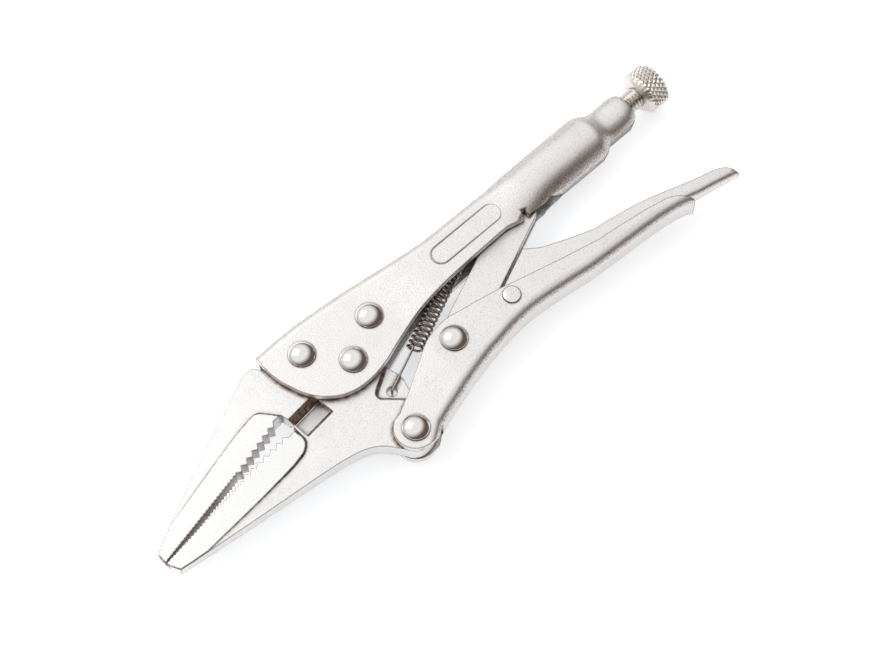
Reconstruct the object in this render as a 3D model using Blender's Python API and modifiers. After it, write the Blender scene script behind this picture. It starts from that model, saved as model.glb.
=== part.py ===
"""Long-nose locking pliers, closed and locked, lying on one side.

+X runs from the jaws to the adjusting knob, +Y from the lower handle to the
upper handle, and +Z is the thickness, so every rivet and hinge runs along Z.
Sizes are set about the screw axis (y = 0) and the jaw pivot (x = 0); at the
end the whole tool is moved so that its box stands on z = 0, centred on x and y.
"""

import math

import bmesh
import bpy
from mathutils import Matrix, Vector

MM = 0.001

# Overall lengths along the screw axis, from the jaw pivot
NOSE_LENGTH = 85.0 * MM  # to the jaw tips
FRAME_LENGTH = 128.5 * MM  # to the rear end of the upper handle
GRIP_LENGTH = 119.0 * MM  # to the rear end of the lower handle
TAIL_LENGTH = 20.0 * MM  # release lever past the lower handle

# Pivot centres
JAW_PIVOT = Vector((0.0, -9.6 * MM))
HANDLE_PIVOT = Vector((-0.9 * MM, -39.6 * MM))
LINK_PIVOT = Vector((28.0 * MM, -25.7 * MM))
LEVER_PIVOT = Vector((51.6 * MM, -27.0 * MM))
LINK_TIP = Vector((83.0 * MM, -1.0 * MM))
FRONT_RIVET = Vector((-10.7 * MM, 2.6 * MM))
REAR_RIVET = Vector((13.7 * MM, -1.7 * MM))

# Plates and sheets
JAW_PLATE = 6.2 * MM
PAD_RISE = 0.8 * MM
TIP_PLATE = 4.0 * MM
WEB_PLATE = 3.0 * MM
SHEET = 2.5 * MM
LINK_SHEET = 2.0 * MM
LEVER_SHEET = 1.8 * MM

# Clearances
SIDE_GAP = 0.3 * MM  # between faces that slide over each other
PIN_GAP = 0.3 * MM  # round a rivet shank
HEAD_GAP = 0.3 * MM  # under a rivet head
TIP_GAP = 2.0 * MM  # between the link tip and the screw, for the opened pivot
NOSE_GAP = 0.9 * MM  # between the release lever's nose and the link

# Rivets
DOME_RADIUS = 4.4 * MM
DOME_HEIGHT = 2.4 * MM
SHANK_RADIUS = 2.9 * MM
LEVER_HEAD_RADIUS = 2.95 * MM
LEVER_HEAD_HEIGHT = 0.6 * MM
LEVER_SHANK_RADIUS = 2.0 * MM

# Jaws
EYE_RADIUS = 7.8 * MM
HANDLE_EYE_RADIUS = 6.2 * MM
FINE_PITCH = 1.3 * MM
FINE_DEPTH = 0.6 * MM
FINE_TIP_DEPTH = 0.25 * MM
COARSE_DEPTH = 1.4 * MM
COARSE_TEETH = 7
SPRING_HOLE_RADIUS = 1.7 * MM
SPRING_HOLE = Vector((2.8 * MM, -24.4 * MM))
PAD_DRAFT = 0.7 * MM
PAD_TIP_RISE = 0.2 * MM
PAD_REAR = -28.0 * MM
COARSE_LEAN = 0.62  # where a coarse tooth's crest stands along its pitch
PART_GAP = 0.35 * MM  # between the closed jaws at the wire cutter
CUTTER_FRONT = (-27.3 * MM, -12.3 * MM)
CUTTER_REAR = (-16.2 * MM, -11.2 * MM)
EDGE_FLAT = 0.3 * MM
BEVEL_WIDTH = 2.1 * MM
RECESS_WIDTH = 6.4 * MM
RECESS_DEPTH = 1.0 * MM
POCKET_DRAFT = 1.0 * MM

# Upper handle
BARREL_RADIUS = 8.2 * MM
BARREL_DROP = 9.7 * MM  # screw axis to the lips of the seam
SEAM_HALF = 1.1 * MM
NECK_RADIUS = 5.6 * MM
NECK_DROP = 7.3 * MM
NECK_LENGTH = 16.5 * MM
FOLD_RADIUS = 3.3 * MM
HEAD_FRONT = -22.0 * MM  # front edge of the cheeks
FOLD_FRONT = 12.7 * MM  # screw axis to the top of the fold over the jaw
CHANNEL_FLARE = 0.9 * MM  # each cheek stands wider where the link passes
CHEEK_EDGE = -8.5 * MM  # free edge of the cheeks in front of the barrel
NECK_SEAM_HALF = 1.3 * MM

# Lower handle
FORK_RADIUS = 7.0 * MM
GRIP_WAIST = -34.7 * MM  # outer face of the fold below the lever's rivet
GRIP_FOLD_RADIUS = 3.4 * MM
GRIP_FLARE = 0.6 * MM  # each cheek stands wider behind the fork

# Link and lever
LINK_WIDTH = 11.0 * MM
LINK_TIP_RADIUS = 3.6 * MM
LINK_SLOPE = math.radians(22.7)
LEVER_EYE_RADIUS = 3.8 * MM
LEVER_FOLD_RADIUS = 2.2 * MM

# Screw and knob
SCREW_RADIUS = 3.75 * MM
KNOB_RADIUS = 7.6 * MM
KNOB_LENGTH = 9.6 * MM
SHANK_SHOWN = 5.8 * MM  # thread between the neck and the knob
SPIGOT_RADIUS = 2.2 * MM
SPIGOT_SHARE = 0.6  # of the knob's length

# Spring
WIRE_RADIUS = 0.45 * MM
COIL_RADIUS = 2.35 * MM  # to the middle of the wire
COIL_TURNS = 18
COIL_PITCH = 1.85 * MM
HOOK_LENGTH = 16.2 * MM  # web hole to the first turn
SPRING_ANCHOR = Vector((56.5 * MM, -1.4 * MM))
ANCHOR_HOLE_RADIUS = 1.4 * MM
ANCHOR_HALF = 0.8 * MM

# Worked out from the sizes above
JAW_HALF = JAW_PLATE / 2
CHEEK_INNER = JAW_HALF + SIDE_GAP
CHEEK_OUTER = CHEEK_INNER + SHEET
BORE_RADIUS = SCREW_RADIUS + 0.3 * MM
BARREL_START = LINK_TIP.x - 7.0 * MM
BARREL_END = FRAME_LENGTH - NECK_LENGTH
GRIP_HALF = CHEEK_OUTER + GRIP_FLARE
NESTED_HALF = GRIP_HALF - SHEET - SIDE_GAP
CHANNEL_HALF = CHEEK_OUTER + CHANNEL_FLARE
KNOB_START = FRAME_LENGTH + SHANK_SHOWN
SCREW_TIP = LINK_TIP.x + LINK_TIP_RADIUS + TIP_GAP

ROUND = 28  # segments round a shank or a bore


# ---------------------------------------------------------------- helpers


def clear_scene():
    """Removes whatever the file starts with."""
    for old in list(bpy.data.objects):
        bpy.data.objects.remove(old)


def new_collection(name, helper=False):
    collection = bpy.data.collections.new(name)
    bpy.context.scene.collection.children.link(collection)
    collection.hide_render = helper
    return collection


def material(name, colour, roughness, metallic=1.0):
    finish = bpy.data.materials.new(name)
    finish.use_nodes = True
    shader = finish.node_tree.nodes["Principled BSDF"]
    shader.inputs["Base Color"].default_value = (*colour, 1.0)
    shader.inputs["Roughness"].default_value = roughness
    shader.inputs["Metallic"].default_value = metallic
    return finish


def object_from(name, mesh, collection):
    made = bpy.data.objects.new(name, mesh)
    collection.objects.link(made)
    return made


def as_helper(helper):
    helper.hide_render = True
    helper.display_type = "WIRE"
    return helper


def object_from_bmesh(name, bm, collection):
    mesh = bpy.data.meshes.new(name)
    bm.to_mesh(mesh)
    bm.free()
    return object_from(name, mesh, collection)


def mesh_of_curve(name, curve, collection):
    """A mesh object made from a filled curve, with its caps welded on."""
    source = object_from(name + "_curve", curve, collection)
    bpy.context.view_layer.update()
    graph = bpy.context.evaluated_depsgraph_get()
    mesh = bpy.data.meshes.new_from_object(source.evaluated_get(graph))
    mesh.name = name
    bm = bmesh.new()
    bm.from_mesh(mesh)
    bmesh.ops.remove_doubles(bm, verts=bm.verts, dist=0.002 * MM)
    bm.to_mesh(mesh)
    bm.free()
    made = object_from(name, mesh, collection)
    made.matrix_world = source.matrix_world
    bpy.data.objects.remove(source)
    return made


def prism(name, outline, half, collection, chamfer=0.0):
    """A flat outline given half its thickness to each side of the mid plane.

    A point is (x, y) on a straight-sided corner, or (x, y, "round") where the
    outline runs smoothly through it.
    """
    curve = bpy.data.curves.new(name + "_outline", "CURVE")
    curve.dimensions = "2D"
    curve.fill_mode = "BOTH"
    curve.extrude = half - chamfer
    curve.bevel_depth = chamfer
    curve.bevel_resolution = 0
    curve.offset = -chamfer
    curve.resolution_u = 5
    spline = curve.splines.new("BEZIER")
    spline.bezier_points.add(len(outline) - 1)
    spline.use_cyclic_u = True
    for point, place in zip(spline.bezier_points, outline):
        point.co = (place[0], place[1], 0.0)
        kind = "AUTO" if len(place) == 3 else "VECTOR"
        point.handle_left_type = kind
        point.handle_right_type = kind
    return mesh_of_curve(name, curve, collection)


def poly_prism(name, outline, low, high, collection):
    """A straight-sided prism between two heights."""
    bm = bmesh.new()
    corners = [bm.verts.new((x, y, low)) for x, y in outline]
    face = bm.faces.new(corners)
    grown = bmesh.ops.extrude_face_region(bm, geom=[face])
    moved = [item for item in grown["geom"] if isinstance(item, bmesh.types.BMVert)]
    bmesh.ops.translate(bm, verts=moved, vec=(0.0, 0.0, high - low))
    bmesh.ops.recalc_face_normals(bm, faces=bm.faces)
    return object_from_bmesh(name, bm, collection)


def disc(name, centre, radius, half, collection, segments=ROUND):
    """A cylinder along Z, half its length to each side of the mid plane."""
    bm = bmesh.new()
    place = Matrix.Translation((centre[0], centre[1], 0.0))
    bmesh.ops.create_cone(bm, cap_ends=True, segments=segments, radius1=radius,
                          radius2=radius, depth=2 * half, matrix=place)
    return object_from_bmesh(name, bm, collection)


def rod(name, start, end, radius, collection, segments=ROUND):
    """A cylinder along X on the screw axis."""
    bm = bmesh.new()
    place = Matrix.Translation(((start + end) / 2, 0.0, 0.0)) @ Matrix.Rotation(math.pi / 2, 4, "Y")
    bmesh.ops.create_cone(bm, cap_ends=True, segments=segments, radius1=radius,
                          radius2=radius, depth=end - start, matrix=place)
    return object_from_bmesh(name, bm, collection)


def box(name, low, high, collection, turn=None, about=(0.0, 0.0, 0.0)):
    """A block between two corners, turned about a point if asked."""
    size = Vector(high) - Vector(low)
    place = Matrix.Translation((Vector(high) + Vector(low)) / 2) @ Matrix.Diagonal((*size, 1.0))
    if turn is not None:
        place = Matrix.Translation(about) @ turn @ Matrix.Translation(-Vector(about)) @ place
    bm = bmesh.new()
    bmesh.ops.create_cube(bm, size=1.0, matrix=place)
    return object_from_bmesh(name, bm, collection)


def combine(target, other, operation):
    """Cuts, joins or trims the target with another shape, kept as a helper."""
    step = target.modifiers.new(operation.lower() + "_" + other.name, "BOOLEAN")
    step.operation = operation
    step.object = as_helper(other)
    return target


def cut(target, other):
    return combine(target, other, "DIFFERENCE")


def join(target, other):
    return combine(target, other, "UNION")


def trim(target, other):
    return combine(target, other, "INTERSECT")


def cut_bores(target, places, cutters):
    """Cuts a through bore for each (centre, radius) in the target."""
    reach = 30.0 * MM
    for number, (centre, radius) in enumerate(places):
        cut(target, disc(f"{target.name}_bore_{number}", centre, radius, reach, cutters))


def smooth(target, degrees=35.0):
    target.data.shade_smooth()
    target.data.set_sharp_from_angle(angle=math.radians(degrees))


def finish_piece(piece, look):
    piece.data.materials.clear()
    piece.data.materials.append(look)
    return piece


def blend(x, stops):
    """Straight-line value at x from (x, value) stops."""
    if x <= stops[0][0]:
        return stops[0][1]
    for (x0, v0), (x1, v1) in zip(stops, stops[1:]):
        if x <= x1:
            return v0 + (v1 - v0) * (x - x0) / (x1 - x0)
    return stops[-1][1]


def sheet_channel(name, stations, side, thickness, collection):
    """A folded sheet: an open skin lofted through its sections, then thickened.

    Each station is (x, fold_y, half, radius, turn_y, lip_y, lip_half): the
    fold's outer height, the outer half width, the fold's corner radius, the
    height where the side starts to curl, and the lip's height and half gap.
    Side is +1 for a fold on top and -1 for a fold underneath.
    """
    rows = []
    for x, fold_y, half, radius, turn_y, lip_y, lip_half in stations:
        radius = min(radius, half - 0.3 * MM)
        row = []
        curl = half - lip_half
        sweep = max(2 * math.atan2(curl, abs(turn_y - lip_y)), 0.001)
        for step in range(7):
            angle = sweep * (1 - step / 6)
            z = half - curl * (1 - math.cos(angle)) / (1 - math.cos(sweep))
            y = turn_y + (lip_y - turn_y) * math.sin(angle) / math.sin(sweep)
            row.append((z, y))
        for step in range(6):
            angle = math.pi / 2 * step / 5
            z = half - radius + radius * math.cos(angle)
            y = fold_y - side * radius * (1 - math.sin(angle))
            row.append((z, y))
        far = [(-z, y) for z, y in reversed(row)]
        rows.append([Vector((x, y, z)) for z, y in row + far])
    bm = bmesh.new()
    grid = [[bm.verts.new(point) for point in row] for row in rows]
    for front, back in zip(grid, grid[1:]):
        for index in range(len(front) - 1):
            quad = (front[index], back[index], back[index + 1], front[index + 1])
            bm.faces.new(quad if side > 0 else reversed(quad))
    made = object_from_bmesh(name, bm, collection)
    wall = made.modifiers.new("wall", "SOLIDIFY")
    wall.thickness = thickness
    wall.offset = -1.0
    wall.use_even_offset = True
    return made


# ---------------------------------------------------------------- jaws


def nose(share, y):
    """A point of the nose: 0 at the upper handle's front edge, 1 at the tip."""
    return (HEAD_FRONT - (NOSE_LENGTH + HEAD_FRONT) * share, y * MM)


def at(x, y):
    return (x * MM, y * MM)


def height_at(start, end, x):
    return start[1] + (end[1] - start[1]) * (x - start[0]) / (end[0] - start[0])


def tooth_line(start, middle, end, rising):
    """Points along one jaw's teeth, from the tip to the throat.

    The roots lie on the lines given; the crests stand below them on the fixed
    jaw (rising = -1) and above them on the moving jaw (rising = +1).
    """
    points = []
    fine = round((middle[0] - start[0]) / FINE_PITCH)
    pitch = (middle[0] - start[0]) / fine
    for number in range(fine):
        root = start[0] + pitch * number
        crest = root + pitch / 2
        points.append((root, height_at(start, middle, root)))
        depth = FINE_TIP_DEPTH + (FINE_DEPTH - FINE_TIP_DEPTH) * number / fine
        points.append((crest, height_at(start, middle, crest) + rising * depth))
    pitch = (end[0] - middle[0]) / COARSE_TEETH
    for number in range(COARSE_TEETH):
        root = middle[0] + pitch * number
        crest = root + pitch * COARSE_LEAN
        points.append((root, height_at(middle, end, root)))
        points.append((crest, height_at(middle, end, crest) + rising * COARSE_DEPTH))
    points.append(end)
    return points


def taper_cutters(name, half_at_head, half_at_tip, cutters):
    """Two blocks that thin the nose evenly from the pads' rear end to the tip."""
    start = PAD_REAR + 1.3 * MM
    angle = math.atan2(half_at_head - half_at_tip, NOSE_LENGTH + start)
    reach = 45.0 * MM
    made = []
    for side in (1, -1):
        low = Vector((-NOSE_LENGTH - reach, -reach, half_at_head))
        high = Vector((start + reach, reach, half_at_head + reach))
        if side < 0:
            low.z, high.z = -high.z, -low.z
        turn = Matrix.Rotation(-side * angle, 4, "Y")
        about = (start, 0.0, side * half_at_head)
        made.append(box(f"{name}_taper_{side}", low, high, cutters, turn, about))
    return made


def jaw_blank(name, plate_outline, pad_outline, parts, cutters):
    """The forged plate with its raised nose pads, before teeth and bores."""
    plate = prism(name, plate_outline, JAW_HALF, parts)
    for wedge in taper_cutters(name + "_plate", JAW_HALF, TIP_PLATE / 2, cutters):
        cut(plate, wedge)
    pad = prism(name + "_pad", pad_outline, JAW_HALF + PAD_RISE, cutters, PAD_DRAFT)
    pad_tip = TIP_PLATE / 2 + PAD_TIP_RISE
    for wedge in taper_cutters(name + "_pad", JAW_HALF + PAD_RISE, pad_tip, cutters):
        cut(pad, wedge)
    return join(plate, pad)


def grind_edge(jaw, profile, cutters):
    """Cuts a profile of (offset from the parting line, height) from both faces,
    along the wire cutter."""
    front = Vector((*CUTTER_FRONT, 0.0))
    rear = Vector((*CUTTER_REAR, 0.0))
    run = rear - front
    across = Vector((-run.y, run.x, 0.0)).normalized()
    for face in (1, -1):
        bm = bmesh.new()
        corners = [bm.verts.new(front + across * y + Vector((0, 0, face * z))) for y, z in profile]
        flat = bm.faces.new(corners)
        grown = bmesh.ops.extrude_face_region(bm, geom=[flat])
        moved = [item for item in grown["geom"] if isinstance(item, bmesh.types.BMVert)]
        bmesh.ops.translate(bm, verts=moved, vec=run)
        bmesh.ops.recalc_face_normals(bm, faces=bm.faces)
        cut(jaw, object_from_bmesh(f"{jaw.name}_grind_{face}", bm, cutters))


def make_fixed_jaw(parts, cutters):
    under_fold = FOLD_FRONT - SHEET - 2 * SIDE_GAP
    front, rear = CUTTER_FRONT, CUTTER_REAR
    half_gap = PART_GAP / 2
    past = 0.6 * MM
    outline = [
        nose(1.0, -22.0), nose(1.0, -16.4), nose(0.955, -14.6), nose(0.85, -11.3), nose(0.65, -5.1),
        nose(0.4, 2.1), nose(0.195, 8.0), (*nose(0.1, 10.3), "round"), (*nose(0.055, 10.6), "round"),
        nose(0.03, 9.7), nose(0.015, 7.6), (HEAD_FRONT + 2.6 * MM, 7.6 * MM),
        (HEAD_FRONT + 3.2 * MM, under_fold), (-4.0 * MM, under_fold),
        (8.0 * MM, under_fold - 0.9 * MM), (REAR_RIVET.x + 6.6 * MM, under_fold - 2.6 * MM),
        (REAR_RIVET.x + 6.6 * MM, REAR_RIVET.y - 4.4 * MM), at(9.6, -8.6), tuple(JAW_PIVOT),
        (rear[0], rear[1] + half_gap), (front[0] - past, front[1] + half_gap - past * 0.1),
        (front[0] - past, -30.0 * MM),
    ]
    pad = [
        nose(0.998, -24.0), nose(0.998, -16.7), nose(0.955, -14.85), nose(0.86, -11.85), nose(0.62, -7.9),
        nose(0.36, -3.6), (*nose(0.24, -2.1), "round"), (*nose(0.185, -2.0), "round"),
        (*nose(0.15, -4.0), "round"), nose(0.105, -7.4), (PAD_REAR, -10.2 * MM), (PAD_REAR, -24.0 * MM),
    ]
    jaw = jaw_blank("fixed_jaw", outline, pad, parts, cutters)
    teeth = tooth_line(nose(1.0, -19.75), nose(0.46, -12.7), nose(0.153, -7.7), -1)
    mouth = [nose(1.1, -19.75)] + teeth
    mouth += [nose(0.1, -7.6), (PAD_REAR + 0.4 * MM, -10.5 * MM)]
    mouth += [(front[0] + past, front[1] + half_gap - past), (front[0] + past, -60.0 * MM)]
    mouth.append(nose(1.1, -60.0))
    cut(jaw, poly_prism("fixed_jaw_mouth", mouth, -2 * JAW_PLATE, 2 * JAW_PLATE, cutters))
    high = JAW_HALF + 1.0 * MM
    lean = (BEVEL_WIDTH * (high - EDGE_FLAT)) / (JAW_HALF - EDGE_FLAT)
    grind_edge(jaw, [(-MM, EDGE_FLAT), (half_gap, EDGE_FLAT), (half_gap + lean, high), (-MM, high)],
               cutters)
    cut(jaw, disc("fixed_jaw_seat", JAW_PIVOT, EYE_RADIUS + SIDE_GAP, JAW_PLATE, cutters, 40))
    bore = SHANK_RADIUS + PIN_GAP
    cut_bores(jaw, [(FRONT_RIVET, bore), (REAR_RIVET, bore)], cutters)
    return jaw


def make_lower_jaw(parts, cutters):
    front, rear = CUTTER_FRONT, CUTTER_REAR
    half_gap = PART_GAP / 2
    past = 0.6 * MM
    foot = HANDLE_PIVOT
    reach = HANDLE_EYE_RADIUS
    outline = [
        nose(1.0, -19.0), nose(0.995, -21.5), nose(0.968, -24.8), nose(0.9, -25.4), nose(0.724, -26.7),
        nose(0.514, -28.3), nose(0.197, -30.5), (*nose(0.02, -32.1), "round"),
        (-17.1 * MM, -33.6 * MM, "round"), (-12.3 * MM, -36.2 * MM, "round"),
        (foot.x - reach * 1.15, foot.y - reach * 0.25, "round"),
        (foot.x - reach * 0.72, foot.y - reach * 0.82, "round"),
        (foot.x, foot.y - reach, "round"), (foot.x + reach * 0.8, foot.y - reach * 0.6, "round"),
        (foot.x + reach, foot.y + 1.0 * MM, "round"), at(6.9, -30.5),
        (SPRING_HOLE.x + 4.6 * MM, SPRING_HOLE.y - 2.6 * MM, "round"),
        (SPRING_HOLE.x + 5.5 * MM, SPRING_HOLE.y + 1.7 * MM, "round"),
        (SPRING_HOLE.x + 4.1 * MM, SPRING_HOLE.y + 7.2 * MM),
    ]
    for step in range(17):
        angle = math.radians(-37 + 227 * step / 16)
        outline.append(tuple(JAW_PIVOT + EYE_RADIUS * Vector((math.cos(angle), math.sin(angle)))))
    outline += [
        (rear[0], rear[1] - half_gap), (front[0] - past, front[1] - half_gap - past * 0.1),
        (front[0] - past, -6.0 * MM), nose(0.2, -4.0),
    ]
    pad = [
        nose(0.998, -17.0), nose(0.993, -21.4), nose(0.965, -24.6), nose(0.9, -25.2), nose(0.81, -25.75),
        nose(0.6, -24.9), nose(0.3, -23.6),
        (*nose(0.2, -22.9), "round"), (PAD_REAR - 2.2 * MM, -21.6 * MM, "round"),
        (PAD_REAR, -19.0 * MM, "round"), (PAD_REAR - 0.3 * MM, -15.0 * MM), (PAD_REAR, -13.4 * MM),
        (PAD_REAR, -6.0 * MM),
    ]
    jaw = jaw_blank("lower_jaw", outline, pad, parts, cutters)
    teeth = tooth_line(nose(1.0, -20.5), nose(0.46, -16.3), nose(0.153, -14.9), 1)
    mouth = [nose(1.1, -20.5)] + teeth
    mouth += [nose(0.1, -14.6), (PAD_REAR - 0.4 * MM, -13.6 * MM)]
    mouth += [(front[0] + past, front[1] - half_gap + past), (front[0] + past, 30.0 * MM)]
    mouth.append(nose(1.1, 30.0))
    cut(jaw, poly_prism("lower_jaw_mouth", mouth, -2 * JAW_PLATE, 2 * JAW_PLATE, cutters))
    high = JAW_HALF + 1.0 * MM
    recess = [
        (MM, EDGE_FLAT), (-half_gap, EDGE_FLAT), (-RECESS_WIDTH + RECESS_DEPTH, JAW_HALF - RECESS_DEPTH),
        (-RECESS_WIDTH, JAW_HALF), (-RECESS_WIDTH, high), (MM, high),
    ]
    grind_edge(jaw, recess, cutters)
    pocket = [
        at(13.0, -12.8), at(5.6, -17.1), at(-0.9, -20.9), (*at(-2.2, -22.4), "round"),
        (*at(-2.1, -24.3), "round"), at(-1.2, -25.2), at(3.8, -29.9), at(13.0, -38.0), at(22.0, -38.0),
        at(22.0, -12.8),
    ]
    for side in (1, -1):
        name = f"lower_jaw_pocket_{side}"
        hollow = prism(name, pocket, JAW_PLATE / 2, cutters, POCKET_DRAFT)
        hollow.location.z = side * (WEB_PLATE / 2 + JAW_PLATE / 2)
        cut(jaw, hollow)
    bore = SHANK_RADIUS + PIN_GAP
    cut_bores(jaw, [(JAW_PIVOT, bore), (HANDLE_PIVOT, bore), (SPRING_HOLE, SPRING_HOLE_RADIUS)], cutters)
    return jaw


# ---------------------------------------------------------------- handles


def upper_section(x):
    """The upper handle's section at x, as sheet_channel takes it."""
    fold = blend(x, [
        (HEAD_FRONT - 3 * MM, FOLD_FRONT - 0.4 * MM), (-15.0 * MM, FOLD_FRONT), (-6.0 * MM, FOLD_FRONT),
        (5.0 * MM, 11.9 * MM), (13.0 * MM, 11.1 * MM), (20.5 * MM, 10.1 * MM), (28.0 * MM, 8.9 * MM),
        (36.0 * MM, 7.7 * MM), (44.0 * MM, 6.9 * MM), (BARREL_START - 8 * MM, 6.6 * MM),
        (BARREL_START + 3 * MM, BARREL_RADIUS - 0.3 * MM), (BARREL_START + 12 * MM, BARREL_RADIUS),
        (BARREL_END - 1.5 * MM, BARREL_RADIUS), (BARREL_END + 1.0 * MM, BARREL_RADIUS - 0.9 * MM),
        (BARREL_END + 3.2 * MM, NECK_RADIUS + 0.3 * MM), (BARREL_END + 5.5 * MM, NECK_RADIUS - 0.1 * MM),
        (BARREL_END + 9.0 * MM, NECK_RADIUS - 0.1 * MM), (FRAME_LENGTH - 3.5 * MM, NECK_RADIUS + 0.1 * MM),
        (FRAME_LENGTH - 1.0 * MM, NECK_RADIUS - 0.3 * MM), (FRAME_LENGTH, NECK_RADIUS - 1.0 * MM),
    ])
    half = blend(x, [
        (REAR_RIVET.x + 6.0 * MM, CHEEK_OUTER), (36.0 * MM, CHANNEL_HALF),
        (BARREL_START - 8 * MM, CHANNEL_HALF + 0.2 * MM), (BARREL_START, BARREL_RADIUS - 0.5 * MM),
        (BARREL_START + 6 * MM, BARREL_RADIUS),
    ])
    if x > BARREL_END - 2.0 * MM:
        half = fold
    radius = blend(x, [(BARREL_START - 10 * MM, FOLD_RADIUS), (BARREL_START + 6 * MM, BARREL_RADIUS)])
    turn = blend(x, [(BARREL_END, -1.5 * MM), (BARREL_END + 4 * MM, -1.0 * MM)])
    lip = blend(x, [
        (20.0 * MM, -22.0 * MM), (34.0 * MM, -14.0 * MM), (BARREL_START - 3 * MM, -BARREL_DROP - MM),
        (BARREL_START + 1 * MM, -BARREL_DROP), (BARREL_END, -BARREL_DROP),
        (BARREL_END + 2.5 * MM, -NECK_DROP), (FRAME_LENGTH - 3.0 * MM, -NECK_DROP),
        (FRAME_LENGTH, -NECK_DROP + 1.6 * MM),
    ])
    entry = NESTED_HALF + 2 * SIDE_GAP
    gap = blend(x, [
        (BARREL_START - 10 * MM, CHANNEL_HALF + 0.1 * MM), (BARREL_START + 1 * MM, entry + 0.5 * MM),
        (LINK_TIP.x, entry), (LINK_TIP.x + 8 * MM, SEAM_HALF), (BARREL_END, SEAM_HALF),
        (BARREL_END + 3 * MM, NECK_SEAM_HALF),
    ])
    if x < BARREL_START - 10 * MM:
        gap = half
    return (x, fold, half, radius, turn, lip, gap)


def make_upper_handle(parts, cutters):
    start = BARREL_START
    places = [HEAD_FRONT - 3 * MM, -15 * MM, -6 * MM, 5 * MM, 13 * MM, 20 * MM, 28 * MM, 36 * MM, 44 * MM]
    places += [start - 20 * MM, start - 10.1 * MM, start - 6 * MM, start - 2 * MM, start + 1 * MM]
    places += [start + 3 * MM, start + 6 * MM, LINK_TIP.x + 3 * MM, LINK_TIP.x + 8 * MM]
    places += [BARREL_END - 8 * MM, BARREL_END - 1.5 * MM, BARREL_END + 1 * MM, BARREL_END + 3.2 * MM]
    places += [BARREL_END + 5.5 * MM, BARREL_END + 9 * MM, FRAME_LENGTH - 3.5 * MM]
    places += [FRAME_LENGTH - 1.0 * MM, FRAME_LENGTH]
    handle = sheet_channel("upper_handle", [upper_section(x) for x in places], 1, SHEET, parts)
    slot_half = NESTED_HALF + SIDE_GAP
    slot = [
        (40.0 * MM, -slot_half), (LINK_TIP.x + 3.2 * MM, -slot_half), (LINK_TIP.x + 6.5 * MM, -SEAM_HALF),
        (LINK_TIP.x + 6.5 * MM, SEAM_HALF), (LINK_TIP.x + 3.2 * MM, slot_half), (40.0 * MM, slot_half),
    ]
    opening = poly_prism("upper_handle_slot", slot, 3.0 * MM, 20.0 * MM, cutters)
    opening.rotation_euler = (math.pi / 2, 0.0, 0.0)
    cut(handle, opening)
    outline = [
        (HEAD_FRONT + 0.6 * MM, 30.0 * MM), (HEAD_FRONT + 0.2 * MM, 12.0 * MM),
        (HEAD_FRONT - 0.5 * MM, 8.0 * MM),
        (*at(-21.9, 1.5), "round"), (*at(-20.8, -2.4), "round"), (*at(-17.6, -9.6), "round"),
        (*at(-13.1, -14.4), "round"), (*at(-7.8, -17.2), "round"), (*at(-0.7, -18.1), "round"),
        (*at(6.5, -17.0), "round"), (*at(15.8, -14.0), "round"), (*at(25.8, -11.2), "round"),
        (*at(37.3, -9.6), "round"), (50.0 * MM, CHEEK_EDGE - 0.4 * MM),
        (start - 9.0 * MM, CHEEK_EDGE), (start - 2.6 * MM, CHEEK_EDGE - 1.4 * MM),
        (start - 1.8 * MM, CHEEK_EDGE + 1.0 * MM), (start - 0.6 * MM, CHEEK_EDGE + 1.0 * MM),
        (start - 0.2 * MM, -30.0 * MM), (FRAME_LENGTH + 20 * MM, -30.0 * MM),
        (FRAME_LENGTH + 20 * MM, 30.0 * MM),
    ]
    trim(handle, prism("upper_handle_outline", outline, 20.0 * MM, cutters))
    tab_low = (SPRING_ANCHOR.x - 2.2 * MM, SPRING_ANCHOR.y - 2.6 * MM, -ANCHOR_HALF)
    tab_high = (SPRING_ANCHOR.x + 2.2 * MM, upper_section(SPRING_ANCHOR.x)[1] - SHEET / 2, ANCHOR_HALF)
    join(handle, box("upper_handle_tab", tab_low, tab_high, cutters))
    thread_end = FRAME_LENGTH + 9 * MM
    cut(handle, rod("upper_handle_thread", BARREL_END - 4 * MM, thread_end, BORE_RADIUS, cutters))
    bore = SHANK_RADIUS + PIN_GAP
    rivets = [(JAW_PIVOT, bore), (FRONT_RIVET, bore), (REAR_RIVET, bore)]
    cut_bores(handle, rivets, cutters)
    hole = disc("upper_handle_hook_hole", SPRING_ANCHOR, ANCHOR_HOLE_RADIUS, ANCHOR_HALF * 2, cutters, 16)
    return cut(handle, hole)


def grip(share):
    """x at a share of the grip's length behind the release lever's rivet."""
    return LEVER_PIVOT.x + (GRIP_LENGTH - LEVER_PIVOT.x) * share


def grip_fold(x):
    """Outer height of the lower handle's fold."""
    return blend(x, [
        (HANDLE_PIVOT.x - 9 * MM, -56.0 * MM), (5.6 * MM, -44.5 * MM), (10.0 * MM, -42.9 * MM),
        (15.5 * MM, -41.4 * MM), (20.6 * MM, -39.9 * MM), (LINK_PIVOT.x, -38.1 * MM), (33.4 * MM, -36.9 * MM),
        (39.4 * MM, -36.0 * MM), (45.0 * MM, -35.2 * MM), (LEVER_PIVOT.x, GRIP_WAIST),
        (grip(0.06), GRIP_WAIST - 0.1 * MM), (grip(0.14), GRIP_WAIST - 0.6 * MM),
        (grip(0.25), GRIP_WAIST - 1.5 * MM), (grip(0.39), GRIP_WAIST - 2.8 * MM),
        (grip(0.57), GRIP_WAIST - 3.7 * MM), (grip(0.73), GRIP_WAIST - 4.4 * MM),
        (grip(0.82), GRIP_WAIST - 4.9 * MM), (grip(0.92), GRIP_WAIST - 5.9 * MM),
        (grip(0.97), GRIP_WAIST - 6.8 * MM), (grip(1.0), GRIP_WAIST - 7.8 * MM),
    ])


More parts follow.
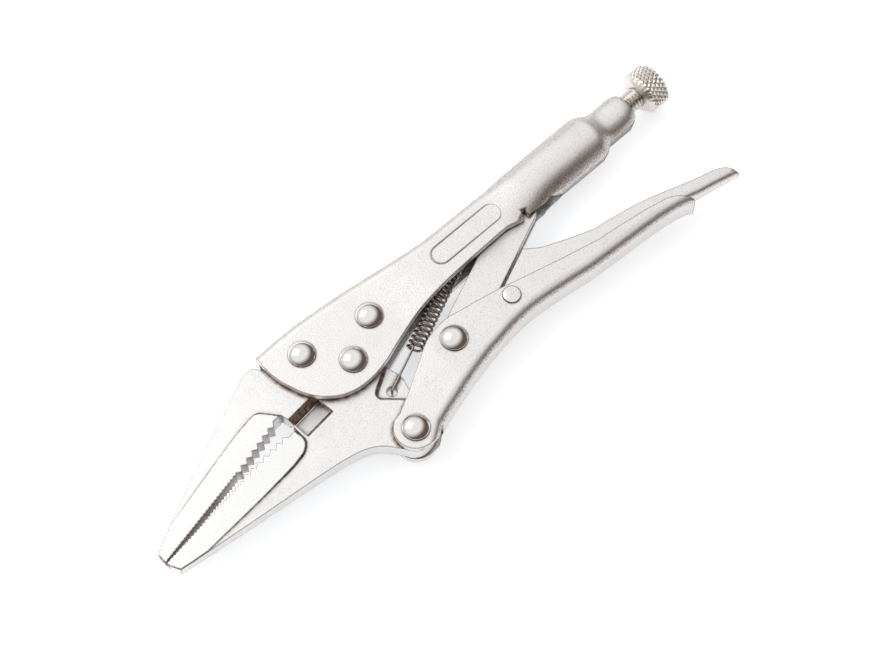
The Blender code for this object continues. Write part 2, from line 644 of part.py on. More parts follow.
def make_lower_handle(parts, cutters):
    places = [HANDLE_PIVOT.x - 9 * MM, 5.6 * MM, 10 * MM, 15.5 * MM, 20.6 * MM, LINK_PIVOT.x]
    places += [33.4 * MM, 39.4 * MM, 45 * MM, LEVER_PIVOT.x]
    places += [grip(share) for share in (0.06, 0.14, 0.25, 0.39, 0.57, 0.73, 0.82, 0.92, 0.97, 1.0)]
    stations = []
    for x in places:
        half = blend(x, [(HANDLE_PIVOT.x + 7 * MM, CHEEK_OUTER), (LINK_PIVOT.x - 7 * MM, GRIP_HALF)])
        fold = grip_fold(x)
        stations.append((x, fold, half, GRIP_FOLD_RADIUS, fold + 6 * MM, -10.0 * MM, half))
    handle = sheet_channel("lower_handle", stations, -1, SHEET, parts)
    fork = []
    for step in range(11):
        angle = math.radians(118 + 164 * step / 10)
        x = HANDLE_PIVOT.x + FORK_RADIUS * math.cos(angle)
        fork.append((x, HANDLE_PIVOT.y + FORK_RADIUS * math.sin(angle)))
    outline = [
        (*at(24.9, -19.5), "round"), (*at(21.0, -20.6), "round"), at(15.0, -23.8), at(5.6, -29.2),
        at(-1.5, -32.9),
    ]
    outline += fork
    outline += [
        at(4.5, -46.2), at(4.8, -60.0), (GRIP_LENGTH + 20 * MM, -60.0 * MM),
        (GRIP_LENGTH + 20 * MM, -46.0 * MM), (GRIP_LENGTH + 0.4 * MM, GRIP_WAIST - 8.6 * MM),
        (GRIP_LENGTH + 0.2 * MM, GRIP_WAIST - 7.2 * MM), (*(grip(0.975), GRIP_WAIST - 4.6 * MM), "round"),
        (*(grip(0.94), GRIP_WAIST - 2.4 * MM), "round"), (grip(0.9), GRIP_WAIST - 1.0 * MM),
        (grip(0.78), GRIP_WAIST + 0.7 * MM), (grip(0.64), GRIP_WAIST + 2.1 * MM),
        (grip(0.5), GRIP_WAIST + 3.3 * MM), (grip(0.33), GRIP_WAIST + 5.9 * MM),
        (grip(0.13), GRIP_WAIST + 9.3 * MM), (LEVER_PIVOT.x - 1.3 * MM, -22.7 * MM), at(43.2, -21.2),
        (*at(35.5, -19.8), "round"), (*at(30.5, -18.95), "round"),
    ]
    trim(handle, prism("lower_handle_outline", outline, 20.0 * MM, cutters))
    mouth_low = (HANDLE_PIVOT.x - 20 * MM, HANDLE_PIVOT.y - 20 * MM, -CHEEK_INNER)
    mouth_high = (HANDLE_PIVOT.x + FORK_RADIUS + SIDE_GAP, HANDLE_PIVOT.y - 2.0 * MM, CHEEK_INNER)
    cut(handle, box("lower_handle_mouth", mouth_low, mouth_high, cutters))
    bores = [(HANDLE_PIVOT, SHANK_RADIUS + PIN_GAP), (LINK_PIVOT, SHANK_RADIUS + PIN_GAP)]
    bores.append((LEVER_PIVOT, LEVER_SHANK_RADIUS + PIN_GAP))
    cut_bores(handle, bores, cutters)
    return handle


# ---------------------------------------------------------------- link and lever


def link_point(along, across):
    """A point in the link's own directions, measured from its pivot."""
    turned = Matrix.Rotation(LINK_SLOPE, 2) @ Vector((along, across))
    return tuple(LINK_PIVOT + turned)


def make_toggle_link(parts, cutters):
    half_width = LINK_WIDTH / 2
    tip = Matrix.Rotation(-LINK_SLOPE, 2) @ (LINK_TIP - LINK_PIVOT)
    outline = []
    for step in range(13):
        angle = math.pi / 2 + math.pi * step / 12
        outline.append(link_point(half_width * math.cos(angle), half_width * math.sin(angle)))
    outline.append(link_point(tip.x - 8.3 * MM, -half_width))
    for step in range(9):
        angle = math.radians(-68 + 158 * step / 8)
        around = tip + LINK_TIP_RADIUS * Vector((math.cos(angle), math.sin(angle)))
        outline.append(link_point(around.x, around.y))
    outline.append(link_point(tip.x - 6.5 * MM, half_width))
    link = prism("toggle_link", outline, NESTED_HALF, parts)
    inner = half_width - LINK_SHEET
    stop = tip.x - 7.5 * MM
    hollow = [
        link_point(-2 * half_width, inner), link_point(-2 * half_width, -2 * LINK_WIDTH),
        link_point(stop, -2 * LINK_WIDTH), link_point(stop, inner),
    ]
    inside = NESTED_HALF - LINK_SHEET
    cut(link, poly_prism("toggle_link_hollow", hollow, -inside, inside, cutters))
    cut_bores(link, [(LINK_PIVOT, SHANK_RADIUS + PIN_GAP)], cutters)
    return link


def make_release_lever(parts, cutters):
    tail = GRIP_LENGTH + TAIL_LENGTH
    rest = SHEET + SIDE_GAP
    stops = [(grip(share), grip_fold(grip(share)) + rest) for share in (0.14, 0.25, 0.39, 0.57, 0.73, 0.82)]
    start = grip(0.14)
    stops += [
        (grip(0.92), grip_fold(grip(0.92)) + rest + 0.1 * MM),
        (grip(1.0), grip_fold(grip(1.0)) + rest + 0.15 * MM),
        (GRIP_LENGTH + TAIL_LENGTH * 0.2, GRIP_WAIST - 6.0 * MM),
        (GRIP_LENGTH + TAIL_LENGTH * 0.55, GRIP_WAIST - 7.4 * MM),
        (GRIP_LENGTH + TAIL_LENGTH * 0.8, GRIP_WAIST - 8.5 * MM), (tail, GRIP_WAIST - 9.4 * MM),
    ]
    stops.insert(0, (start - 1.2 * MM, stops[0][1]))
    stops.insert(0, (LEVER_PIVOT.x - 6 * MM, stops[0][1] - 3.0 * MM))
    places = [x for x, _ in stops]
    stations = []
    for x in places:
        fold = blend(x, stops)
        half = blend(x, [(GRIP_LENGTH, NESTED_HALF), (tail, NESTED_HALF - 0.7 * MM)])
        stations.append((x, fold, half, LEVER_FOLD_RADIUS, fold + 3 * MM, -8.0 * MM, half))
    lever = sheet_channel("release_lever", stations, -1, LEVER_SHEET, parts)
    away = LINK_WIDTH / 2 + NOSE_GAP
    span = (LEVER_PIVOT - LINK_PIVOT).length
    outline = [
        link_point(span - 1.0 * MM, -away), link_point(span + 15.2 * MM, -away),
        (*(grip(0.24), -17.8 * MM), "round"), (*(grip(0.285), -20.0 * MM), "round"),
        (*(grip(0.35), -22.0 * MM), "round"), (*(grip(0.48), -25.4 * MM), "round"),
        (grip(0.55), -27.0 * MM), (*(grip(0.7), -28.6 * MM), "round"), (*(grip(0.85), -30.9 * MM), "round"),
        (grip(1.0), -34.1 * MM), (GRIP_LENGTH + TAIL_LENGTH * 0.4, -36.5 * MM),
        (*(GRIP_LENGTH + TAIL_LENGTH * 0.74, -38.4 * MM), "round"),
        (*(GRIP_LENGTH + TAIL_LENGTH * 0.88, -40.4 * MM), "round"),
        (GRIP_LENGTH + TAIL_LENGTH * 0.95, -43.4 * MM), (tail + 10 * MM, -60.0 * MM),
        (start - 1.0 * MM, -60.0 * MM), (start - 1.0 * MM, LEVER_PIVOT.y - LEVER_EYE_RADIUS),
    ]
    for step in range(7):
        angle = math.radians(-90 - 140 * step / 6)
        around = LEVER_PIVOT + LEVER_EYE_RADIUS * Vector((math.cos(angle), math.sin(angle)))
        outline.append(tuple(around))
    trim(lever, prism("release_lever_outline", outline, 20.0 * MM, cutters))
    cut_bores(lever, [(LEVER_PIVOT, LEVER_SHANK_RADIUS + PIN_GAP)], cutters)
    return lever


# ---------------------------------------------------------------- turned pieces


def turned(name, profile, collection, steps=ROUND):
    """A piece turned about Z from (radius, height) points, top to bottom."""
    bm = bmesh.new()
    points = [bm.verts.new((radius, 0.0, height)) for radius, height in profile]
    for above, below in zip(points, points[1:]):
        bm.edges.new((above, below))
    made = object_from_bmesh(name, bm, collection)
    spin = made.modifiers.new("turn", "SCREW")
    spin.steps = steps
    spin.render_steps = steps
    spin.use_merge_vertices = True
    spin.merge_threshold = 0.01 * MM
    return made


def make_rivet(name, centre, outer_half, head, shank_radius, parts):
    """A shank with a head of (radius, height, rings) on each side."""
    radius, height, rings = head
    seat = outer_half + HEAD_GAP
    upper = []
    for ring in range(rings + 1):
        angle = math.pi / 2 * (1 - ring / rings)
        upper.append((radius * math.cos(angle), seat + height * math.sin(angle)))
    upper[0] = (0.0, seat + height)
    upper.append((shank_radius, seat))
    profile = upper + [(r, -z) for r, z in reversed(upper)]
    rivet = turned(name, profile, parts)
    rivet.location = (centre.x, centre.y, 0.0)
    return rivet


def along_screw(piece):
    """Turns a piece made about Z so that its top points along +X."""
    piece.rotation_euler = (0.0, math.pi / 2, 0.0)
    return piece


def make_screw(parts):
    shoulder = KNOB_START - SIDE_GAP
    end = KNOB_START + KNOB_LENGTH * SPIGOT_SHARE - SIDE_GAP
    profile = [
        (0.0, end), (SPIGOT_RADIUS, end), (SPIGOT_RADIUS, shoulder), (SCREW_RADIUS, shoulder),
        (SCREW_RADIUS, SCREW_TIP + 1.0 * MM), (SCREW_RADIUS - 1.0 * MM, SCREW_TIP), (0.0, SCREW_TIP),
    ]
    return along_screw(turned("adjusting_screw", profile, parts))


def make_knob(parts):
    start = KNOB_START
    end = KNOB_START + KNOB_LENGTH
    bore = SPIGOT_RADIUS + PIN_GAP
    depth = start + KNOB_LENGTH * SPIGOT_SHARE
    profile = [
        (0.0, end), (KNOB_RADIUS - 3.0 * MM, end), (KNOB_RADIUS - 1.3 * MM, end - 0.5 * MM),
        (KNOB_RADIUS - 0.4 * MM, end - 1.5 * MM), (KNOB_RADIUS, end - 3.2 * MM),
        (KNOB_RADIUS, start + 2.5 * MM), (KNOB_RADIUS - 0.5 * MM, start + 1.9 * MM),
        (KNOB_RADIUS - 2.1 * MM, start + 0.2 * MM), (KNOB_RADIUS - 2.5 * MM, start), (bore, start),
        (bore, depth), (0.0, depth),
    ]
    return along_screw(turned("knurled_knob", profile, parts, 40))


def make_spring(parts):
    """A close coil between two straight hooks, each dropped through its hole."""
    start = Vector((*SPRING_HOLE, 0.0))
    end = Vector((*SPRING_ANCHOR, 0.0))
    run = (end - start).normalized()
    side = Vector((-run.y, run.x, 0.0))
    up = Vector((0.0, 0.0, 1.0))
    coil_length = COIL_TURNS * COIL_PITCH
    coil_start = HOOK_LENGTH
    near = WEB_PLATE / 2 + WIRE_RADIUS + SIDE_GAP
    far = ANCHOR_HALF + WIRE_RADIUS + SIDE_GAP
    bend = 0.6 * MM
    points = [start - up * (near + 0.4 * MM), start + up * (near - bend)]
    points.append(start + up * (near - 0.15 * MM) + run * 0.25 * MM)
    points.append(start + up * near + run * bend * 1.4)
    steps = COIL_TURNS * 10
    for step in range(steps + 1):
        angle = 2 * math.pi * step / 10
        along = coil_start + coil_length * step / steps
        points.append(start + run * along + COIL_RADIUS * (up * math.cos(angle) + side * math.sin(angle)))
    points.append(end + up * far - run * bend * 1.4)
    points.append(end + up * (far - 0.15 * MM) - run * 0.25 * MM)
    points += [end + up * (far - bend), end - up * (far + 0.4 * MM)]
    curve = bpy.data.curves.new("tension_spring", "CURVE")
    curve.dimensions = "3D"
    curve.bevel_depth = WIRE_RADIUS
    curve.bevel_resolution = 1
    curve.use_fill_caps = True
    spline = curve.splines.new("POLY")
    spline.points.add(len(points) - 1)
    for point, place in zip(spline.points, points):
        point.co = (*place, 1.0)
    return mesh_of_curve("tension_spring", curve, parts)


# ---------------------------------------------------------------- assembly


def axis_empty(name, place, parent, collection):
    """An empty on a joint's axis."""
    empty = bpy.data.objects.new(name, None)
    empty.empty_display_size = 5 * MM
    collection.objects.link(empty)
    empty.parent = parent
    above = Vector((0.0, 0.0, 0.0))
    walk = parent
    while walk is not None:
        above += walk.location
        walk = walk.parent
    empty.location = Vector(place) - above
    return empty


def hang(pieces, empty):
    """Parents pieces to an empty without moving them."""
    bpy.context.view_layer.update()
    for piece in pieces:
        piece.parent = empty
        piece.matrix_parent_inverse = empty.matrix_world.inverted()


def stand_on_floor(origin, pieces):
    """Moves the whole tool so that its box stands on z = 0, centred."""
    bpy.context.view_layer.update()
    graph = bpy.context.evaluated_depsgraph_get()
    points = []
    for piece in pieces:
        evaluated = piece.evaluated_get(graph)
        mesh = evaluated.to_mesh()
        points += [evaluated.matrix_world @ vertex.co for vertex in mesh.vertices]
        evaluated.to_mesh_clear()
    low = [min(point[axis] for point in points) for axis in range(3)]
    high = [max(point[axis] for point in points) for axis in range(3)]
    origin.location = (-(low[0] + high[0]) / 2, -(low[1] + high[1]) / 2, -low[2])


def main():
    clear_scene()
    parts = new_collection("locking_pliers")
    cutters = new_collection("cutters", helper=True)

    satin = material("satin_nickel", (0.83, 0.81, 0.79), 0.42)
    ground = material("forged_nickel", (0.80, 0.78, 0.76), 0.38)
    bright = material("bright_nickel", (0.86, 0.84, 0.81), 0.12)
    wire = material("spring_wire", (0.22, 0.19, 0.18), 0.35)
    machined = material("machined_screw", (0.74, 0.71, 0.67), 0.3)

    dome = (DOME_RADIUS, DOME_HEIGHT, 6)
    flat = (LEVER_HEAD_RADIUS, LEVER_HEAD_HEIGHT, 3)
    upper_handle = finish_piece(make_upper_handle(parts, cutters), satin)
    fixed_jaw = finish_piece(make_fixed_jaw(parts, cutters), ground)
    lower_jaw = finish_piece(make_lower_jaw(parts, cutters), ground)
    lower_handle = finish_piece(make_lower_handle(parts, cutters), satin)
    toggle_link = finish_piece(make_toggle_link(parts, cutters), satin)
    release_lever = finish_piece(make_release_lever(parts, cutters), satin)
    frame_rivets = [
        make_rivet("front_jaw_rivet", FRONT_RIVET, CHEEK_OUTER, dome, SHANK_RADIUS, parts),
        make_rivet("rear_jaw_rivet", REAR_RIVET, CHEEK_OUTER, dome, SHANK_RADIUS, parts),
        make_rivet("jaw_pivot_rivet", JAW_PIVOT, CHEEK_OUTER, dome, SHANK_RADIUS, parts),
    ]
    grip_rivets = [
        make_rivet("handle_pivot_rivet", HANDLE_PIVOT, CHEEK_OUTER, dome, SHANK_RADIUS, parts),
        make_rivet("link_pivot_rivet", LINK_PIVOT, GRIP_HALF, dome, SHANK_RADIUS, parts),
        make_rivet("lever_rivet", LEVER_PIVOT, GRIP_HALF, flat, LEVER_SHANK_RADIUS, parts),
    ]
    for rivet in frame_rivets + grip_rivets:
        finish_piece(rivet, bright)
    screw = finish_piece(make_screw(parts), machined)
    knob = finish_piece(make_knob(parts), machined)
    spring = finish_piece(make_spring(parts), wire)
    for piece in frame_rivets + grip_rivets + [screw, knob, spring]:
        smooth(piece)
    for piece in (upper_handle, lower_handle, release_lever):
        smooth(piece, 25.0)

    pieces = [obj for obj in parts.objects if obj.type == "MESH"]
    helpers = list(cutters.objects)
    origin = axis_empty("tool_origin", (0, 0, 0), None, parts)
    jaw_axis = axis_empty("jaw_axis", (*JAW_PIVOT, 0), origin, parts)
    handle_axis = axis_empty("handle_axis", (*HANDLE_PIVOT, 0), jaw_axis, parts)
    link_axis = axis_empty("link_axis", (*LINK_PIVOT, 0), handle_axis, parts)
    lever_axis = axis_empty("lever_axis", (*LEVER_PIVOT, 0), handle_axis, parts)
    screw_axis = axis_empty("screw_axis", (SCREW_TIP, 0, 0), origin, parts)
    knob_axis = axis_empty("knob_axis", (KNOB_START, 0, 0), screw_axis, parts)
    groups = [
        (origin, [upper_handle, fixed_jaw, spring] + frame_rivets), (jaw_axis, [lower_jaw]),
        (handle_axis, [lower_handle] + grip_rivets), (link_axis, [toggle_link]),
        (lever_axis, [release_lever]), (screw_axis, [screw]), (knob_axis, [knob]),
    ]
    for empty, members in groups:
        names = tuple(member.name + "_" for member in members)
        hang(members + [helper for helper in helpers if helper.name.startswith(names)], empty)
    stand_on_floor(origin, pieces)


if __name__ == "__main__":
    main()
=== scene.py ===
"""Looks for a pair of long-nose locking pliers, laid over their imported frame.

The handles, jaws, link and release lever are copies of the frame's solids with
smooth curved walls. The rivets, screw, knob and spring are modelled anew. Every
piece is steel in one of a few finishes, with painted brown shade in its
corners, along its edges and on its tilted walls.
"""

import logging
import math
from dataclasses import dataclass, field
from enum import Enum

import bmesh
import bpy
from mathutils import Matrix, Vector


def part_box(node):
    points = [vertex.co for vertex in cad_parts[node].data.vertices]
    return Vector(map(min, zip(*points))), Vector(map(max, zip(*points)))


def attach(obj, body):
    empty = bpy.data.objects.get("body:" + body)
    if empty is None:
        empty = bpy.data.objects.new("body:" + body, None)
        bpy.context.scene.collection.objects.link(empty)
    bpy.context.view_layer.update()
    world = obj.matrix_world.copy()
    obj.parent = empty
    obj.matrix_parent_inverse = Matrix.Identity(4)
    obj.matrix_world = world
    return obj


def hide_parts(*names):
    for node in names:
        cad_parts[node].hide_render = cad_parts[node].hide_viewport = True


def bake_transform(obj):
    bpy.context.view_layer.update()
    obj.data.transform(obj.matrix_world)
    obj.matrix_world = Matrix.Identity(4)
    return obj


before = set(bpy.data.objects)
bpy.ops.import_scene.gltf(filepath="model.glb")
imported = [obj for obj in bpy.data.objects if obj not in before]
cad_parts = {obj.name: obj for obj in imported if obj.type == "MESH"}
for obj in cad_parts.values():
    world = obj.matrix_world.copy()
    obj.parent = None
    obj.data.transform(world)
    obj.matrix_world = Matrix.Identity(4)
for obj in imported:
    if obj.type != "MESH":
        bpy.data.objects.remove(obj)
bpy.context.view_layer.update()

MM = 0.001
LOG = logging.getLogger("locking_pliers")
COPY_MERGE = 0.0008 * MM
SPIN_MERGE = 0.002 * MM
FLAT_ANGLE = math.radians(0.05)  # faces that meet flatter than this are joined
SPECK_SIZE = 4.0  # size of the specks that break a film up, in grains
SPECK_RANGE = (0.3, 0.6)  # where the specks' noise starts and ends
PAD_COLOUR = (0.84, 0.84, 0.83)
Colour = tuple[float, float, float]


class Body(Enum):
    """The moving bodies of the frame."""

    FRAME = "frame"
    JAW = "jaw"
    GRIP = "grip"
    LINK = "link"
    LEVER = "lever"
    SCREW = "screw"
    KNOB = "knob"


class Slot(Enum):
    """The record's material slots."""

    SHEET = "sheet"
    FORGING = "forging"
    RIVET = "rivet"
    SCREW = "screw"
    SPRING = "spring"


# ------------------------------------------------------------------ finishes


class NodeBench:
    """A material's node tree, with short ways to add and join nodes."""

    def __init__(self, name: str) -> None:
        """Starts a material that holds only its output and one shader.

        Args:
            name: The material's name.
        """
        self.material = bpy.data.materials.new(name)
        self.material.use_nodes = True
        self.tree = self.material.node_tree
        self.shader = self.tree.nodes["Principled BSDF"]
        self.place = self.add("ShaderNodeTexCoord").outputs["Object"]

    def add(self, kind: str, **settings: object) -> bpy.types.Node:
        """Adds a node.

        Args:
            kind: The node's Blender type name.
            settings: Properties to set on the node.

        Returns:
            The new node.
        """
        node = self.tree.nodes.new(kind)
        for key, value in settings.items():
            setattr(node, key, value)
        return node

    def feed(self, socket: bpy.types.NodeSocket, value: object) -> None:
        """Joins an output to a socket, or sets the socket's own value.

        Args:
            socket: The input socket.
            value: An output socket, or a plain value.
        """
        if isinstance(value, bpy.types.NodeSocket):
            self.tree.links.new(value, socket)
        else:
            socket.default_value = value

    def noise(self, size: float, detail: float = 2.0) -> bpy.types.NodeSocket:
        """Adds noise on object coordinates.

        Args:
            size: Size of one grain, in metres.
            detail: Octaves of finer noise.

        Returns:
            The noise value, 0 to 1.
        """
        node = self.add("ShaderNodeTexNoise")
        node.inputs["Scale"].default_value = 1.0 / size
        node.inputs["Detail"].default_value = detail
        self.feed(node.inputs["Vector"], self.place)
        return node.outputs["Fac"]

    def span(
        self, value: object, low: float, high: float, to_low: float = 0.0, to_high: float = 1.0
    ) -> bpy.types.NodeSocket:
        """Maps one range to another, held at both ends.

        Args:
            value: The value to map.
            low: Where the first range starts. It may be above its end.
            high: Where the first range ends.
            to_low: What the start maps to.
            to_high: What the end maps to.

        Returns:
            The mapped value.
        """
        node = self.add("ShaderNodeMapRange")
        self.feed(node.inputs["Value"], value)
        for name, number in (
            ("From Min", low), ("From Max", high), ("To Min", to_low), ("To Max", to_high),
        ):
            node.inputs[name].default_value = number
        return node.outputs["Result"]

    def sum_up(self, operation: str, first: object, second: object) -> bpy.types.NodeSocket:
        """Works out one value from two.

        Args:
            operation: The Math node's operation.
            first: The first value.
            second: The second value.

        Returns:
            The result.
        """
        node = self.add("ShaderNodeMath", operation=operation)
        self.feed(node.inputs[0], first)
        self.feed(node.inputs[1], second)
        return node.outputs[0]

    def times(self, first: object, second: object) -> bpy.types.NodeSocket:
        """Multiplies two values."""
        return self.sum_up("MULTIPLY", first, second)

    def most(self, first: object, second: object) -> bpy.types.NodeSocket:
        """Takes the larger of two values."""
        return self.sum_up("MAXIMUM", first, second)

    def mix(self, share: object, under: object, over: object) -> bpy.types.NodeSocket:
        """Mixes two colours.

        Args:
            share: How much of the second colour shows, 0 to 1.
            under: The first colour.
            over: The second colour.

        Returns:
            The mixed colour.
        """
        node = self.add("ShaderNodeMix", data_type="RGBA")
        self.feed(node.inputs[0], share)
        self.feed(node.inputs[6], (*under, 1.0) if isinstance(under, tuple) else under)
        self.feed(node.inputs[7], (*over, 1.0) if isinstance(over, tuple) else over)
        return node.outputs[2]

    def mark(self, name: str) -> bpy.types.NodeSocket:
        """Reads a float attribute of the mesh."""
        return self.add("ShaderNodeAttribute", attribute_name=name).outputs["Fac"]


@dataclass(frozen=True)
class Plating:
    """A nickel-plated steel finish, with grain, blotches and painted brown shade in corners, along edges
    and on tilted walls.
    """

    name: str
    colour: Colour = (0.775, 0.757, 0.742)
    grain_colour: Colour = (0.5, 0.46, 0.43)
    # painted shade: the dark brown laid in corners, along edges, on fold flanks and on drafted walls
    painted_shade_colour: Colour = (0.15, 0.083, 0.05)
    roughness: float = 0.4
    roughness_spread: float = 0.14
    grain: float = 0.42 * MM
    grain_depth: float = 0.085 * MM
    grain_share: float = 0.62
    blotch: float = 9.0 * MM
    edge: float = 0.6 * MM
    # painted corner shade: how far it looks for metal round a point, how strong it is, and the openness
    # where it starts and where it is full
    shade_reach: float = 1.3 * MM
    shade_share: float = 1.0
    open_corner: float = 0.88
    shut_corner: float = 0.5
    # painted dark edge lines, standing for the dark reflections along rounded edges
    edge_shade_share: float = 0.9
    # painted shade on the tilted flanks of folds
    fold_shade_share: float = 0.0
    marked: bool = False

    def make(self) -> bpy.types.Material:
        """Builds the finish's material.

        Returns:
            The material.
        """
        bench = NodeBench(self.name)
        grain = bench.noise(self.grain)
        speck = bench.noise(self.grain * SPECK_SIZE)
        surface = bench.add("ShaderNodeNewGeometry").outputs["Normal"]
        rounded = bench.add("ShaderNodeBevel", samples=6)
        rounded.inputs["Radius"].default_value = self.edge
        colour = self.plate_colour(bench, grain)
        ragged = bench.span(speck, *SPECK_RANGE, 0.55, 1.0)
        # painted shade in corners and hollows, from ambient occlusion
        painted_shade = bench.times(bench.times(self.corners(bench), ragged), self.shade_share)
        if self.marked:
            colour, painted_shade = self.add_marks(bench, colour, painted_shade, ragged)
        # painted shade on fold flanks, by how far the surface tilts
        if self.fold_shade_share:
            painted_shade = bench.most(painted_shade, self.fold_shade(bench, surface, grain))
        # painted shade along edges, standing for dark reflections on rounded edges
        edge_shade = self.edges(bench, rounded.outputs["Normal"], surface)
        painted_shade = bench.most(painted_shade, bench.times(edge_shade, bench.span(speck, *SPECK_RANGE, 0.8, 1.0)))
        # lay the painted shade's dark brown over the plating
        bench.feed(bench.shader.inputs["Base Color"], bench.mix(painted_shade, colour, self.painted_shade_colour))
        bench.shader.inputs["Metallic"].default_value = 1.0
        bench.feed(bench.shader.inputs["Roughness"], self.rough(bench, grain))
        bench.feed(bench.shader.inputs["Normal"], self.bumps(bench, rounded.outputs["Normal"]))
        return bench.material

    def plate_colour(self, bench: NodeBench, grain: object) -> bpy.types.NodeSocket:
        """The bare plating, speckled by its grain and by broad faint blotches.

        Args:
            bench: The material's nodes.
            grain: The grain's noise.

        Returns:
            The colour.
        """
        speckle = bench.span(grain, 0.5, 0.76, 0.0, self.grain_share)
        blotch = bench.span(bench.noise(self.blotch, 4.0), 0.5, 0.9, 0.0, 0.25)
        return bench.mix(blotch, bench.mix(speckle, self.colour, self.grain_colour), self.grain_colour)

    def corners(self, bench: NodeBench) -> bpy.types.NodeSocket:
        """How far each point is shut in by the metal round it, 0 to 1; this sets the painted corner shade.

        Args:
            bench: The material's nodes.

        Returns:
            The share.
        """
        shade = bench.add("ShaderNodeAmbientOcclusion", samples=8)
        shade.inputs["Distance"].default_value = self.shade_reach
        return bench.span(shade.outputs["AO"], self.open_corner, self.shut_corner)

    def edges(self, bench: NodeBench, rounded: object, surface: object) -> bpy.types.NodeSocket:
        """Painted shade along edges, where the rounded normal leaves the surface's own.

        Args:
            bench: The material's nodes.
            rounded: The normal with rounded edges.
            surface: The surface's own normal.

        Returns:
            The painted edge shade's share.
        """
        turned = bench.add("ShaderNodeVectorMath", operation="DOT_PRODUCT")
        bench.feed(turned.inputs[0], rounded)
        bench.feed(turned.inputs[1], surface)
        return bench.span(turned.outputs["Value"], 0.992, 0.94, 0.0, self.edge_shade_share)

    def rough(self, bench: NodeBench, grain: object) -> bpy.types.NodeSocket:
        """Roughness that follows the grain, and is lower on ground pads.

        Args:
            bench: The material's nodes.
            grain: The grain's noise.

        Returns:
            The roughness.
        """
        half = self.roughness_spread / 2
        value = bench.span(grain, 0.3, 0.75, self.roughness - half, self.roughness + half)
        if self.marked:
            value = bench.times(value, bench.span(bench.mark("pad"), 0.0, 1.0, 1.0, 0.72))
        return value

    def bumps(self, bench: NodeBench, rounded: object) -> bpy.types.NodeSocket:
        """The grain's bumps on rounded edges, fainter on ground pads.

        Args:
            bench: The material's nodes.
            rounded: The normal with rounded edges.

        Returns:
            The normal.
        """
        bump = bench.add("ShaderNodeBump")
        bump.inputs["Strength"].default_value = 1.0
        if self.marked:
            bench.feed(bump.inputs["Strength"], bench.span(bench.mark("pad"), 0.0, 1.0, 1.0, 0.2))
        bump.inputs["Distance"].default_value = self.grain_depth
        bench.feed(bump.inputs["Height"], bench.noise(self.grain, 1.0))
        bench.feed(bump.inputs["Normal"], rounded)
        return bump.outputs["Normal"]

    def fold_shade(self, bench: NodeBench, surface: object, grain: object) -> bpy.types.NodeSocket:
        """Speckled painted shade on the flanks of a fold, between its crown and its wall.

        Args:
            bench: The material's nodes.
            surface: The surface's own normal.
            grain: Noise that speckles the film.

        Returns:
            The painted shade's share.
        """
        split = bench.add("ShaderNodeSeparateXYZ")
        bench.feed(split.inputs[0], surface)
        lift = bench.add("ShaderNodeMath", operation="ABSOLUTE")
        bench.feed(lift.inputs[0], split.outputs["Z"])
        rise = bench.span(lift.outputs[0], 0.12, 0.4)
        fall = bench.span(lift.outputs[0], 0.94, 0.7)
        speckled = bench.span(grain, 0.42, 0.62, 0.25, 1.0)
        return bench.times(bench.times(bench.times(rise, fall), speckled), self.fold_shade_share)

    def add_marks(
        self, bench: NodeBench, colour: object, painted_shade: object, ragged: object
    ) -> tuple[bpy.types.NodeSocket, bpy.types.NodeSocket]:
        """Brightens ground pads, and paints shade on the drafted walls round them and between the teeth.

        Args:
            bench: The material's nodes.
            colour: The plating's colour so far.
            painted_shade: The painted shade's share so far.
            ragged: Noise that breaks the painted shade up.

        Returns:
            The new colour and the new painted shade share.
        """
        colour = bench.mix(bench.times(bench.mark("pad"), 0.7), colour, PAD_COLOUR)
        # painted shade on the drafted walls
        shade_weight = bench.times(bench.times(bench.mark("wall"), ragged), 0.95)
        # painted shade between the teeth
        tooth = bench.times(bench.mark("tooth"), bench.span(ragged, 0.55, 1.0, 0.85, 0.97))
        return colour, bench.most(painted_shade, bench.most(shade_weight, tooth))


# ------------------------------------------------------------------ mesh work


def centre_of(node: str) -> Vector:
    """Middle of a frame node's box."""
    low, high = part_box(node)
    return (Vector(low) + Vector(high)) / 2


def size_of(node: str) -> Vector:
    """Side lengths of a frame node's box."""
    low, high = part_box(node)
    return Vector(high) - Vector(low)


def add_piece(
    name: str, mesh: bpy.types.Mesh, look: bpy.types.Material, node: str, body: Body | None,
    smooth_below: float = 35.0, even: bool = False,
) -> bpy.types.Object:
    """Puts a finished mesh in the scene as a riding piece.

    Args:
        name: The piece's name.
        mesh: Its mesh, with its place in its vertices.
        look: Its material.
        node: The frame node that it stands for, or an empty string.
        body: The body it rides on, or None for one that stretches between two.
        smooth_below: Edges flatter than this many degrees are shaded smooth.
        even: Shades large faces flat up to their smooth edges.

    Returns:
        The piece.
    """
    mesh.materials.clear()
    mesh.materials.append(look)
    mesh.shade_smooth()
    mesh.set_sharp_from_angle(angle=math.radians(smooth_below))
    piece = bpy.data.objects.new(name, mesh)
    bpy.context.scene.collection.objects.link(piece)
    if even:
        shading = piece.modifiers.new("even_shading", "WEIGHTED_NORMAL")
        shading.keep_sharp = True
        shading.weight = 80
    if body:
        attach(piece, body.value)
    if node:
        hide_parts(node)
    LOG.info("%s: %d faces, %s", name, len(mesh.polygons), body.value if body else "between two bodies")
    return piece


def to_mesh(name: str, bm: bmesh.types.BMesh) -> bpy.types.Mesh:
    """Writes a bmesh to a new mesh and frees it."""
    mesh = bpy.data.meshes.new(name)
    bm.to_mesh(mesh)
    bm.free()
    return mesh


